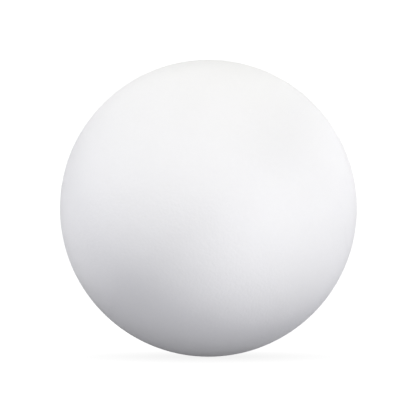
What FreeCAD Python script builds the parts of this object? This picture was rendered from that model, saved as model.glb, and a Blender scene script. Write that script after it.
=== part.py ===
"""A table tennis ball: two moulded half shells cemented together at a stepped lap joint.

Sizes are in millimetres. The origin is the ball's centre and +Z is up. The Y axis is the axis of both
half shells, so the seam is a circle in the XZ plane. The front half shell lies towards -Y and the rear
one towards +Y. Every piece is a profile in the XY plane, turned once round the Y axis.
"""

import FreeCAD, Part
import os
from math import sqrt

# Driving dimensions
BALL_DIAMETER = 40.0
WALL_THICKNESS = 0.45
SEAM_THICKNESS = 0.84  # the wall at the seam: the lip outside, the tongue inside and the film between
LIP_THICKNESS = 0.40  # the lip of the front shell, measured at the seam plane
LAP_DEPTH = 1.2  # how far the rebate runs back from the seam plane
CEMENT_FILM = 0.04  # the cement between two faces of the joint
END_GAP = 0.08  # the cement between the tongue's end and the rebate's floor
TONGUE_CHAMFER = 0.10
BEAD_SPREAD = 0.22  # how far the squeezed-out cement spreads past each side of the end gap
BEAD_HEIGHT = 0.12
GATE_DIAMETER = 1.6  # the trimmed stub inside each pole, where the mould was filled
GATE_HEIGHT = 0.10

# Dimensions that follow from them
OUTER_RADIUS = BALL_DIAMETER / 2
INNER_RADIUS = OUTER_RADIUS - WALL_THICKNESS
BAND_RADIUS = OUTER_RADIUS - SEAM_THICKNESS  # the inside of the thicker band along the seam
BAND_REACH = sqrt(INNER_RADIUS**2 - BAND_RADIUS**2)  # where the band runs out into the hollow sphere
REBATE_RADIUS = OUTER_RADIUS - LIP_THICKNESS
TONGUE_RADIUS = REBATE_RADIUS - CEMENT_FILM
REBATE_FLOOR = -LAP_DEPTH
TONGUE_END = REBATE_FLOOR + END_GAP
GATE_RADIUS = GATE_DIAMETER / 2

FRONT = -1
REAR = 1
CENTRE = FreeCAD.Vector(0, 0, 0)
BALL_AXIS = FreeCAD.Vector(0, 1, 0)


def point(radius, along):
    """A profile point, by its distance from the Y axis and its place along that axis."""
    return FreeCAD.Vector(radius, along, 0)


def point_on_sphere(sphere_radius, along):
    """The profile point where a sphere about the centre reaches a place along the Y axis."""
    return point(sqrt(sphere_radius**2 - along**2), along)


def sphere_arc(start, end):
    """The arc about the ball's centre between two profile points that are equally far from it."""
    middle = (start + end).normalize() * start.Length
    return Part.Arc(start, middle, end).toShape()


def straight_lines(points):
    """The straight edges that join a list of profile points in order."""
    return [Part.makeLine(a, b) for a, b in zip(points, points[1:])]


def turned(edges):
    """The solid that a closed profile makes when it turns once round the Y axis."""
    profile = Part.Face(Part.Wire(Part.__sortEdges__(edges)))
    return profile.revolve(CENTRE, BALL_AXIS, 360)


def front_rim():
    """The front shell's rim, from the outside in: the butt face, the rebate's wall and its floor."""
    butt = FRONT * CEMENT_FILM / 2
    return [
        point_on_sphere(OUTER_RADIUS, butt),
        point(REBATE_RADIUS, butt),
        point(REBATE_RADIUS, REBATE_FLOOR),
        point(BAND_RADIUS, REBATE_FLOOR),
    ]


def rear_rim():
    """The rear shell's rim, from the outside in: the butt face, the tongue's side, chamfer and end."""
    butt = REAR * CEMENT_FILM / 2
    return [
        point_on_sphere(OUTER_RADIUS, butt),
        point(TONGUE_RADIUS, butt),
        point(TONGUE_RADIUS, TONGUE_END + TONGUE_CHAMFER),
        point(TONGUE_RADIUS - TONGUE_CHAMFER, TONGUE_END),
        point(BAND_RADIUS, TONGUE_END),
    ]


def half_shell(side, rim):
    """One half shell: a thin bowl with a thicker band inside its rim and a gate stub inside its pole."""
    outer_pole = point(0, side * OUTER_RADIUS)
    band_end = point(BAND_RADIUS, side * BAND_REACH)
    gate_foot = point_on_sphere(INNER_RADIUS, side * sqrt(INNER_RADIUS**2 - GATE_RADIUS**2))
    gate_level = gate_foot.y - side * GATE_HEIGHT
    gate_stub = [gate_foot, point(GATE_RADIUS, gate_level), point(0, gate_level), outer_pole]
    edges = [sphere_arc(outer_pole, rim[0])]
    edges += straight_lines(rim + [band_end])
    edges += [sphere_arc(band_end, gate_foot)]
    edges += straight_lines(gate_stub)
    return turned(edges)


def seam_cement():
    """The cement that fills the joint, flush with the ball outside and squeezed out in a bead inside."""
    front = front_rim()
    rear = rear_rim()
    bead_start = point(BAND_RADIUS, REBATE_FLOOR - BEAD_SPREAD)
    bead_crown = point(BAND_RADIUS - BEAD_HEIGHT, (REBATE_FLOOR + TONGUE_END) / 2)
    bead_end = point(BAND_RADIUS, TONGUE_END + BEAD_SPREAD)
    edges = straight_lines(front + [bead_start])
    edges += [Part.Arc(bead_start, bead_crown, bead_end).toShape()]
    edges += straight_lines([bead_end] + rear[::-1])
    edges += [sphere_arc(rear[0], front[0])]
    return turned(edges)


def ball():
    """Every piece of the ball by name."""
    return {
        "front_half_shell": half_shell(FRONT, front_rim()),
        "rear_half_shell": half_shell(REAR, rear_rim()),
        "seam_cement": seam_cement(),
    }


def main():
    """Write one STEP file for each piece."""
    os.makedirs("parts", exist_ok=True)
    for name, solid in ball().items():
        solid.exportStep(f"parts/{name}.step")
        print(f"{name}: {solid.Volume:.2f} mm3")


main()
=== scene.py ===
"""A matt white table tennis ball on a plain white floor, lit by soft studio lights.

Sizes are in metres. The ball's centre is the origin, +Z is up, and the Y axis is the axis of both half
shells, so the seam lies in the XZ plane. The camera looks along +Y at the front half shell.
"""

from math import asin, atan, atan2, cos, hypot, pi, radians, sin, sqrt, tan

import bmesh
import bpy
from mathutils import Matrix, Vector


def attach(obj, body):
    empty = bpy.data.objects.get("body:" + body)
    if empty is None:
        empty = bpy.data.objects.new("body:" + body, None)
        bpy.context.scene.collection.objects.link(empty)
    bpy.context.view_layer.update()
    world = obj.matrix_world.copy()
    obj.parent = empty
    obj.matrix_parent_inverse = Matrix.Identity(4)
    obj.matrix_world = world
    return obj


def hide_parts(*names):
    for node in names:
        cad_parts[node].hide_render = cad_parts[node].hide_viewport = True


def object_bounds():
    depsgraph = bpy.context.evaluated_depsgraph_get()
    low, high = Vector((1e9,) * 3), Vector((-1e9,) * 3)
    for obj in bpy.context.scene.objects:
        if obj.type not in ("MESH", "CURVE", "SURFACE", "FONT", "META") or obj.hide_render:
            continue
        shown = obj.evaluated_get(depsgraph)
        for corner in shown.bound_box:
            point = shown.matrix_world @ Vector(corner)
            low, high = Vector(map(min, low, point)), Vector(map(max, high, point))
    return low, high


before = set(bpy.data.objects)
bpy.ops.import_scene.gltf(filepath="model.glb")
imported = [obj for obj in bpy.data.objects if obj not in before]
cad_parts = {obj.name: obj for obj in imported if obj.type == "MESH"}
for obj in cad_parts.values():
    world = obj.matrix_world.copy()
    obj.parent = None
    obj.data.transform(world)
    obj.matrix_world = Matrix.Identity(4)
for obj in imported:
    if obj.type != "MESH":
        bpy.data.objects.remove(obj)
cad_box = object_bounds()

# The ball's own dimensions: the radius comes from the frame, and the rest are the CAD parts' own
BALL_RADIUS = (cad_box[1].x - cad_box[0].x) / 2
WALL_THICKNESS = 0.45e-3
SEAM_THICKNESS = 0.84e-3
LIP_THICKNESS = 0.40e-3
LAP_DEPTH = 1.2e-3
CEMENT_FILM = 0.04e-3
END_GAP = 0.08e-3
TONGUE_CHAMFER = 0.10e-3
BEAD_SPREAD = 0.22e-3
BEAD_HEIGHT = 0.12e-3
GATE_RADIUS = 0.8e-3
GATE_HEIGHT = 0.10e-3

# Finishing that only shows close up
EDGE_BREAK = 0.03e-3  # the rounding that tumbling leaves on both edges of the seam
CEMENT_SINK = 0.01e-3  # how far the cement lies below the shells
PIECE_GAP = 0.001e-3  # keeps the faces of neighbouring pieces apart

INNER_RADIUS = BALL_RADIUS - WALL_THICKNESS
BAND_RADIUS = BALL_RADIUS - SEAM_THICKNESS
BAND_REACH = sqrt(INNER_RADIUS**2 - BAND_RADIUS**2)
REBATE_RADIUS = BALL_RADIUS - LIP_THICKNESS
TONGUE_RADIUS = REBATE_RADIUS - CEMENT_FILM
REBATE_FLOOR = -LAP_DEPTH
TONGUE_END = REBATE_FLOOR + END_GAP

FRONT = -1
REAR = 1
QUADS = 48  # the quads in a quarter turn
RINGS_IN_SKIRT = QUADS // 2
EDGE_STEPS = 4
BEAD_STEPS = 8


# ---------------------------------------------------------------------------------------- meshes


def ring(bm, radius, along):
    """A ring of points round the Y axis, starting half a quarter turn before +X."""
    turns = [radians(90 * step / QUADS - 45) for step in range(4 * QUADS)]
    return [bm.verts.new((radius * cos(t), along, radius * sin(t))) for t in turns]


def bridge(bm, near, far):
    """A band of quads between two rings."""
    for i in range(len(near)):
        after = (i + 1) % len(near)
        bm.faces.new((near[i], near[after], far[after], far[i]))


def crease(rings):
    """Mark rings as hard edges, so that the faces on either side don't shade into each other."""
    for points in rings:
        for i, point in enumerate(points):
            for edge in point.link_edges:
                if edge.other_vert(point) is points[(i + 1) % len(points)]:
                    edge.smooth = False


def band(bm, start, profile):
    """Rings along a profile of (radius, along) points, each joined to the one before. Returns them."""
    rings = [start]
    for radius, along in profile:
        rings.append(ring(bm, radius, along))
        bridge(bm, rings[-2], rings[-1])
    return rings


def skirt(bm, rim, place):
    """Bands of quads that climb from the rim to the edge of the patch over the pole. Returns that edge."""
    near = rim
    for step in range(1, RINGS_IN_SKIRT + 1):
        climb = tan(radians(45) * step / RINGS_IN_SKIRT)
        far = []
        for i in range(4 * QUADS):
            off_middle = radians(90 * (i % QUADS) / QUADS - 45)
            turn = radians(90) * (i // QUADS) + off_middle
            far.append(bm.verts.new(place(turn, atan(climb * cos(off_middle)))))
        bridge(bm, near, far)
        near = far
    return near


def pole_patch(bm, edge, place):
    """The square patch of quads over the pole, inside its edge."""
    patch = {}
    for i in range(QUADS):
        patch[QUADS, i] = edge[i]
        patch[QUADS - i, QUADS] = edge[QUADS + i]
        patch[0, QUADS - i] = edge[2 * QUADS + i]
        patch[i, 0] = edge[3 * QUADS + i]
    for i in range(1, QUADS):
        for k in range(1, QUADS):
            across = tan(radians(90 * i / QUADS - 45))
            up = tan(radians(90 * k / QUADS - 45))
            latitude = pi / 2 - atan(hypot(across, up))
            patch[i, k] = bm.verts.new(place(atan2(up, across), latitude))
    for i in range(QUADS):
        for k in range(QUADS):
            bm.faces.new((patch[i, k], patch[i + 1, k], patch[i + 1, k + 1], patch[i, k + 1]))


def dome(bm, rim, side):
    """Close a rim with the outside of the ball, made only of quads: a square patch over the pole and a
    skirt round it. The quads come from a cube blown up into a sphere, with its equator on the rim."""
    rim_latitude = asin(abs(rim[0].co.y) / BALL_RADIUS)

    def place(turn, latitude):
        above = rim_latitude + latitude * (1 - rim_latitude / (pi / 2))
        flat = BALL_RADIUS * cos(above)
        return (flat * cos(turn), side * BALL_RADIUS * sin(above), flat * sin(turn))

    pole_patch(bm, skirt(bm, rim, place), place)


def finished_piece(bm, name, cad_node, material):
    """Turn a closed mesh into a piece that rides on the ball and stands for its CAD node."""
    bmesh.ops.recalc_face_normals(bm, faces=bm.faces)
    for face in bm.faces:
        face.smooth = True
    mesh = bpy.data.meshes.new(name)
    bm.to_mesh(mesh)
    bm.free()
    mesh.materials.append(material)
    piece = bpy.data.objects.new(name, mesh)
    bpy.context.scene.collection.objects.link(piece)
    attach(piece, "root")
    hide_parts(cad_node)


def rounded_edge(side, corner):
    """The profile that rounds the dome's rim over into the butt face."""
    profile = []
    for step in range(1, EDGE_STEPS + 1):
        lean = radians(90) * step / EDGE_STEPS
        drop = EDGE_BREAK * (1 - cos(lean))
        profile.append((BALL_RADIUS - drop, corner - side * EDGE_BREAK * sin(lean)))
    return profile


def bowl_profile(side):
    """The profile of the hollow side, from the seam band to the foot of the gate stub."""
    first = asin(BAND_REACH / INNER_RADIUS)
    last = pi / 2 - asin(GATE_RADIUS / INNER_RADIUS)
    profile = []
    for step in range(1, QUADS + 1):
        latitude = first + (last - first) * step / QUADS
        profile.append((INNER_RADIUS * cos(latitude), side * INNER_RADIUS * sin(latitude)))
    return profile


def half_shell(name, cad_node, side, rim, material):
    """A half shell: the outer dome, the rounded edge of the seam, the rim's steps from the outside in,
    the cylinder of the seam band, the hollow side and the stub of the gate at its pole."""
    corner = side * (CEMENT_FILM / 2 + PIECE_GAP + EDGE_BREAK)
    gate_level = side * (sqrt(INNER_RADIUS**2 - GATE_RADIUS**2) - GATE_HEIGHT)
    bm = bmesh.new()
    edge = ring(bm, sqrt(BALL_RADIUS**2 - corner**2), corner)
    dome(bm, edge, side)
    rounded = band(bm, edge, rounded_edge(side, corner))
    stepped = band(bm, rounded[-1], rim + [(BAND_RADIUS, side * BAND_REACH)])
    bowl = band(bm, stepped[-1], bowl_profile(side))
    stub = band(bm, bowl[-1], [(GATE_RADIUS, gate_level)])
    bm.faces.new(stub[-1])
    crease(stepped[1:-1] + [bowl[-1], stub[-1]])
    finished_piece(bm, name, cad_node, material)


def front_rim():
    """The front shell's steps: the butt face, the rebate's wall and the rebate's floor."""
    butt = FRONT * (CEMENT_FILM / 2 + PIECE_GAP)
    return [(REBATE_RADIUS, butt), (REBATE_RADIUS, REBATE_FLOOR), (BAND_RADIUS, REBATE_FLOOR)]


def rear_rim():
    """The rear shell's steps: the butt face, the tongue's side, its chamfer and its end."""
    butt = REAR * (CEMENT_FILM / 2 + PIECE_GAP)
    return [
        (TONGUE_RADIUS, butt),
        (TONGUE_RADIUS, TONGUE_END + TONGUE_CHAMFER),
        (TONGUE_RADIUS - TONGUE_CHAMFER, TONGUE_END),
        (BAND_RADIUS, TONGUE_END),
    ]


def cement_profile():
    """The cement's closed profile: in between the rims from outside, round the bead that was squeezed out
    inside the ball, and back out."""
    half = CEMENT_FILM / 2
    face = BALL_RADIUS - CEMENT_SINK
    outer_wall = REBATE_RADIUS - PIECE_GAP
    inner_wall = TONGUE_RADIUS + PIECE_GAP
    floor = REBATE_FLOOR + PIECE_GAP
    end = TONGUE_END - PIECE_GAP
    inside = BAND_RADIUS - PIECE_GAP
    middle = (floor + end) / 2
    reach = (end - floor) / 2 + BEAD_SPREAD
    front_side = [(face, -half), (outer_wall, -half), (outer_wall, floor), (inside, floor)]
    bead = []
    for step in range(BEAD_STEPS + 1):
        lean = radians(180) * step / BEAD_STEPS
        bead.append((inside - BEAD_HEIGHT * sin(lean), middle - reach * cos(lean)))
    rear_side = [
        (inside, end),
        (inner_wall - TONGUE_CHAMFER, end),
        (inner_wall, end + TONGUE_CHAMFER),
        (inner_wall, half),
        (face, half),
    ]
    return front_side + bead + rear_side


def cement_ring(material):
    """The ring of cement between the two shells."""
    profile = cement_profile()
    bm = bmesh.new()
    start = ring(bm, *profile[0])
    rings = band(bm, start, profile[1:])
    bridge(bm, rings[-1], start)
    crease(rings)
    finished_piece(bm, "seam_cement_ring", "seam_cement", material)


# ------------------------------------------------------------------------------------- materials

# Colours, all nearly neutral
SHELL_LIGHT = (0.934, 0.934, 0.932, 1)
SHELL_DARK = (0.926, 0.926, 0.923, 1)
GRAIN_SHADE = (0.90, 0.90, 0.90, 1)
SEAM_SHADE = (0.87, 0.87, 0.86, 1)
CEMENT_LIGHT = (0.88, 0.88, 0.87, 1)
CEMENT_DARK = (0.80, 0.80, 0.785, 1)

# How far across the lumps of each pattern are
CLOUD_SIZE = 5e-3
STREAK_SIZE = 3e-3
WAVE_SIZE = 1.5e-3
GRAIN_SIZE = 0.35e-3

NOISE_RANGE = (0.3, 0.7)  # nearly all of a noise's values lie between these
SHELL_ROUGHNESS = (0.76, 0.86)
SEAM_ROUGHNESS = 0.60
CEMENT_ROUGHNESS = (0.38, 0.52)
GRAIN_STRENGTH = 0.3  # how much of the grain's shade shows at most
SEAM_STRENGTH = 0.5
SHELL_BUMP = 25e-6  # the height from a noise of 0 to a noise of 1
CEMENT_BUMP = 10e-6
POLISH_START = 0.05e-3  # the smoother zone along the seam is even up to here
POLISH_END = 0.45e-3  # and it has faded out here
LIGHT_DEPTH = 0.3e-3  # how far light spreads inside the plastic


def new_material(name):
    """A material with its node tree and its shader."""
    material = bpy.data.materials.new(name)
    material.use_nodes = True
    tree = material.node_tree
    return material, tree, tree.nodes["Principled BSDF"]


def ball_place(tree):
    """The point being shaded, in the ball's own frame."""
    return tree.nodes.new("ShaderNodeTexCoord").outputs["Object"]


def noise(tree, size):
    """Noise that belongs to the ball, with lumps of some size in metres."""
    texture = tree.nodes.new("ShaderNodeTexNoise")
    texture.inputs["Scale"].default_value = 1 / size
    tree.links.new(ball_place(tree), texture.inputs["Vector"])
    return texture.outputs["Fac"]


def ranged(tree, value, source, low, high, kind="LINEAR"):
    """A value carried over from its source range to the range from low to high, and kept inside it."""
    span = tree.nodes.new("ShaderNodeMapRange")
    span.interpolation_type = kind
    span.inputs["From Min"].default_value = source[0]
    span.inputs["From Max"].default_value = source[1]
    span.inputs["To Min"].default_value = low
    span.inputs["To Max"].default_value = high
    tree.links.new(value, span.inputs["Value"])
    return span.outputs["Result"]


def seam_zone(tree, strength):
    """The given strength along the seam, fading smoothly to nothing on both sides of it."""
    split = tree.nodes.new("ShaderNodeSeparateXYZ")
    tree.links.new(ball_place(tree), split.inputs["Vector"])
    distance = tree.nodes.new("ShaderNodeMath")
    distance.operation = "ABSOLUTE"
    tree.links.new(split.outputs["Y"], distance.inputs[0])
    return ranged(tree, distance.outputs["Value"], (POLISH_START, POLISH_END), strength, 0, "SMOOTHSTEP")


def mixed(tree, kind, amount, first, second):
    """A blend from first to second as the amount goes from 0 to 1. The amount is a socket, the others
    are each a socket or a constant, and the kind is FLOAT or RGBA."""
    blend = tree.nodes.new("ShaderNodeMix")
    blend.data_type = kind
    sockets = [socket for socket in blend.inputs if socket.enabled]
    for value, socket in zip((amount, first, second), sockets):
        if isinstance(value, bpy.types.NodeSocket):
            tree.links.new(value, socket)
        else:
            socket.default_value = value
    return next(socket for socket in blend.outputs if socket.enabled)


def bump(tree, height, depth, below=None):
    """The normal of a bumpy surface, on top of another such normal if there is one below."""
    raised = tree.nodes.new("ShaderNodeBump")
    raised.inputs["Distance"].default_value = depth
    tree.links.new(height, raised.inputs["Height"])
    if below is not None:
        tree.links.new(below, raised.inputs["Normal"])
    return raised.outputs["Normal"]


def let_light_in(shader):
    """White plastic lets light in a little way, which softens its shading."""
    shader.inputs["IOR"].default_value = 1.5
    shader.inputs["Subsurface Weight"].default_value = 0.35
    shader.inputs["Subsurface Radius"].default_value = (1.0, 1.0, 1.0)
    shader.inputs["Subsurface Scale"].default_value = LIGHT_DEPTH


def shell_plastic():
    """White moulded plastic, ground and tumbled to an even matt grain. The grinding leaves a narrow zone
    along the seam a little smoother and greyer than the rest."""
    material, tree, shader = new_material("white_shell_plastic")
    let_light_in(shader)
    shader.inputs["Specular IOR Level"].default_value = 0.25
    waves = noise(tree, WAVE_SIZE)
    grain = noise(tree, GRAIN_SIZE)

    clouds = ranged(tree, noise(tree, CLOUD_SIZE), NOISE_RANGE, 0, 1)
    cloudy = mixed(tree, "RGBA", clouds, SHELL_DARK, SHELL_LIGHT)
    grains = ranged(tree, grain, NOISE_RANGE, 0, GRAIN_STRENGTH)
    grainy = mixed(tree, "RGBA", grains, cloudy, GRAIN_SHADE)
    tone = mixed(tree, "RGBA", seam_zone(tree, SEAM_STRENGTH), grainy, SEAM_SHADE)
    tree.links.new(tone, shader.inputs["Base Color"])

    tumbled = ranged(tree, waves, NOISE_RANGE, *SHELL_ROUGHNESS)
    roughness = mixed(tree, "FLOAT", seam_zone(tree, 1), tumbled, SEAM_ROUGHNESS)
    tree.links.new(roughness, shader.inputs["Roughness"])

    wavy = bump(tree, waves, SHELL_BUMP)
    tree.links.new(bump(tree, grain, SHELL_BUMP, wavy), shader.inputs["Normal"])
    return material


def cement_plastic():
    """The dried cement: the same plastic once dissolved, so it is greyer, smoother and a little uneven."""
    material, tree, shader = new_material("seam_cement_plastic")
    let_light_in(shader)
    ripples = noise(tree, GRAIN_SIZE)
    streaks = ranged(tree, noise(tree, STREAK_SIZE), NOISE_RANGE, 0, 1)
    tree.links.new(mixed(tree, "RGBA", streaks, CEMENT_DARK, CEMENT_LIGHT), shader.inputs["Base Color"])
    tree.links.new(ranged(tree, ripples, NOISE_RANGE, *CEMENT_ROUGHNESS), shader.inputs["Roughness"])
    tree.links.new(bump(tree, ripples, CEMENT_BUMP), shader.inputs["Normal"])
    return material


# ------------------------------------------------------------------------- camera, floor, lights

LENS = 250.0
SENSOR = 36.0
BALL_SHARE = 0.7158  # the share of the picture's width that the ball takes up
FRAME_SHIFT = (-0.0022, 0.0018)  # puts the ball about a pixel off the picture's middle

FLOOR_SIZE = 10.0
WHITE_GLOW = 1.1  # a little more than pure white
PAINTED_SHADOW_GLOW = 0.88  # the floor's glow right under the ball, where its painted contact shadow is darkest
SHADOW_REACH = 10 * BALL_RADIUS  # the farthest that the ball's painted shadow dims the floor

LIGHT_DISTANCE = 0.6
FULL_POWER = 4.0  # the watts at which a light aimed at white plastic makes it look white
NEUTRAL = (1.0, 1.0, 1.0)
WARM = (1.01, 1.0, 0.93)
COOL = (0.99, 0.99, 1.045)


def make_camera():
    """A long lens level with the ball's centre, looking along +Y."""
    data = bpy.data.cameras.new("camera")
    data.lens = LENS
    data.sensor_width = SENSOR
    half_view = SENSOR / 2 / LENS
    distance = BALL_RADIUS / sin(atan(BALL_SHARE * half_view))
    data.clip_start = 0.01
    data.clip_end = 10.0
    data.shift_x, data.shift_y = FRAME_SHIFT
    camera = bpy.data.objects.new("camera", data)
    camera.location = (0, -distance, 0)
    camera.rotation_euler = (radians(90), 0, 0)
    bpy.context.scene.collection.objects.link(camera)
    bpy.context.scene.camera = camera


def soft_light(name, azimuth, elevation, size, strength, colour):
    """A round softbox aimed at the ball. Azimuth 0 is the camera's side and 90 is +X."""
    turn = radians(azimuth)
    climb = radians(elevation)
    away = Vector((sin(turn) * cos(climb), -cos(turn) * cos(climb), sin(climb)))
    data = bpy.data.lights.new(name, "AREA")
    data.shape = "DISK"
    data.size = size
    data.energy = strength * FULL_POWER
    data.color = colour
    light = bpy.data.objects.new(name, data)
    light.location = away * LIGHT_DISTANCE
    light.rotation_euler = away.to_track_quat("Z", "Y").to_euler()
    light.visible_camera = False
    bpy.context.scene.collection.objects.link(light)


def make_lights():
    """Soft light from both sides and from above, hardly any from below, and some on the back of the ball.
    All but low_left and rear began as a solver's fit to the photograph's shading, and were then rounded
    and adjusted."""
    soft_light("right_side", 65, -5, 0.60, 0.80, COOL)
    soft_light("left_front", -45, -5, 0.35, 0.525, COOL)
    soft_light("low_left", -110, -30, 0.30, 0.03, COOL)
    soft_light("upper_front", 30, 35, 0.10, 0.29, WARM)
    soft_light("upper_left", -85, 45, 0.12, 0.37, NEUTRAL)
    soft_light("upper_rear", 160, 55, 0.35, 0.40, NEUTRAL)
    soft_light("rear", 180, -5, 0.12, 0.50, NEUTRAL)


def make_backdrop():
    """A plain white backdrop all round, which only the camera sees."""
    world = bpy.data.worlds.new("white_backdrop")
    world.use_nodes = True
    world.node_tree.nodes["Background"].inputs["Color"].default_value = (1, 1, 1, 1)
    world.node_tree.nodes["Background"].inputs["Strength"].default_value = WHITE_GLOW
    bpy.context.scene.world = world
    world.cycles_visibility.diffuse = False
    world.cycles_visibility.glossy = False
    world.cycles_visibility.transmission = False


def floor_material():
    """White that glows just enough to look like the backdrop, with a painted contact shadow: ambient
    occlusion from the ball dims the glow near it, and the studio's lights play no part."""
    material, tree, shader = new_material("white_floor")
    tree.nodes.remove(shader)
    open_sky = tree.nodes.new("ShaderNodeAmbientOcclusion")
    open_sky.inputs["Distance"].default_value = SHADOW_REACH
    glow = tree.nodes.new("ShaderNodeEmission")
    # Painted shadow: the glow drops from white to its darkest level where the ball hides the floor from
    # the open sky
    painted_shadow = ranged(tree, open_sky.outputs["AO"], (0, 1), PAINTED_SHADOW_GLOW, WHITE_GLOW)
    tree.links.new(painted_shadow, glow.inputs["Strength"])
    tree.links.new(glow.outputs["Emission"], tree.nodes["Material Output"].inputs["Surface"])
    return material


def make_floor():
    """A plain white floor under the ball. It neither lights nor shades the ball."""
    bm = bmesh.new()
    bmesh.ops.create_grid(bm, x_segments=1, y_segments=1, size=FLOOR_SIZE / 2)
    mesh = bpy.data.meshes.new("floor")
    bm.to_mesh(mesh)
    bm.free()
    mesh.materials.append(floor_material())
    floor = bpy.data.objects.new("floor", mesh)
    floor.location = (0, 0, -BALL_RADIUS)
    floor.visible_diffuse = False
    floor.visible_glossy = False
    floor.visible_transmission = False
    floor.visible_shadow = False
    bpy.context.scene.collection.objects.link(floor)


# ------------------------------------------------------------------------------------- the scene

make_camera()
plastic = shell_plastic()
half_shell("front_shell", "front_half_shell", FRONT, front_rim(), plastic)
half_shell("rear_shell", "rear_half_shell", REAR, rear_rim(), plastic)
cement_ring(cement_plastic())
make_backdrop()
make_floor()
make_lights()
bpy.context.scene.view_settings.view_transform = "Standard"
